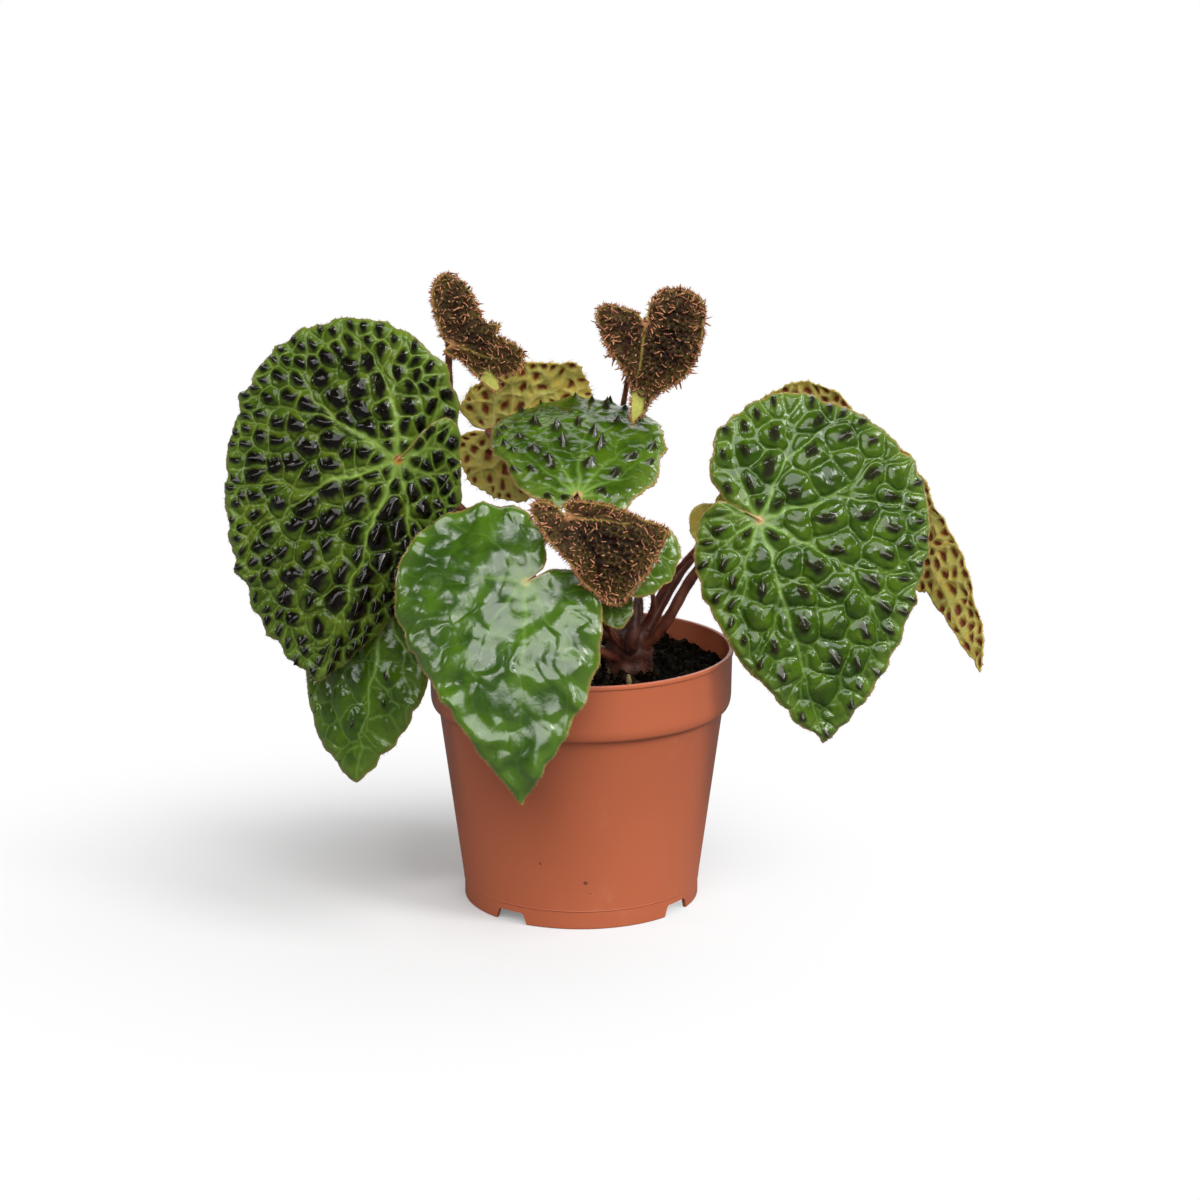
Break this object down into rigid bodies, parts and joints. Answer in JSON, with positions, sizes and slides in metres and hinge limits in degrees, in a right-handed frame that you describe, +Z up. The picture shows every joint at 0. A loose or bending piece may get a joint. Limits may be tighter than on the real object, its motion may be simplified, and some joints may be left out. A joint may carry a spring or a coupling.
{
  "type": "potted begonia",
  "caption": "Small potted begonia with asymmetric heart-shaped leaves, dark cone-tipped blisters and bristly young leaves, in a notched plastic nursery pot.",
  "frame": {"origin": "centre of the whole object's bounding box at floor level, under the pot's foot", "axes": "+Z up, -Y towards the viewer of the front, +X to the viewer's right; the pot's axis is parallel to Z at X -10.6 mm, Y 8.8 mm"},
  "size_m": [0.2933, 0.1559, 0.2471],
  "materials": {
    "pot_plastic": "terracotta-coloured injection-moulded plastic, satin",
    "soil": "dark moist peat with perlite and bark",
    "leaf_dark": "glossy dark green leaf with near-black cones",
    "leaf_green": "glossy mid green leaf with paler veins",
    "leaf_bright": "glossy fresh green leaf",
    "leaf_olive": "satin olive leaf underside with brown pits",
    "leaf_brown": "young leaf covered in brown-purple bristles",
    "stem_red": "dark red, finely hairy leaf stalk",
    "bark": "brown-red ringed rhizome and papery scales",
    "perlite": "pale porous grains and a bark chip"
  },
  "bodies": {
    "root": {"pot": "pot_plastic", "soil": "soil", "rhizome": "bark", "blade_left_large": "leaf_dark", "blade_left_low": "leaf_green", "blade_front": "leaf_bright", "blade_top": "leaf_green", "blade_bristly_front": "leaf_brown", "blade_pleated": "leaf_green", "blade_olive": "leaf_olive", "blade_right_large": "leaf_green", "blade_back_right": "leaf_olive", "blade_back_left": "leaf_olive", "blade_bristly_left": "leaf_brown", "blade_bristly_heart": "leaf_brown", "blade_behind_right": "leaf_olive", "petiole_left_large": "stem_red", "petiole_left_low": "stem_red", "petiole_front": "stem_red", "petiole_top": "stem_red", "petiole_bristly_front": "stem_red", "petiole_pleated": "stem_red", "petiole_olive": "stem_red", "petiole_right_large": "stem_red", "petiole_back_right": "stem_red", "petiole_back_left": "stem_red", "petiole_bristly_left": "stem_red", "petiole_bristly_heart": "stem_red", "petiole_behind_right": "stem_red", "stipule_front": "bark", "stipule_back": "bark", "bark_chip": "perlite", "perlite_front": "perlite", "perlite_right": "perlite", "perlite_left": "perlite", "perlite_back": "perlite"}
  },
  "joints": []
}
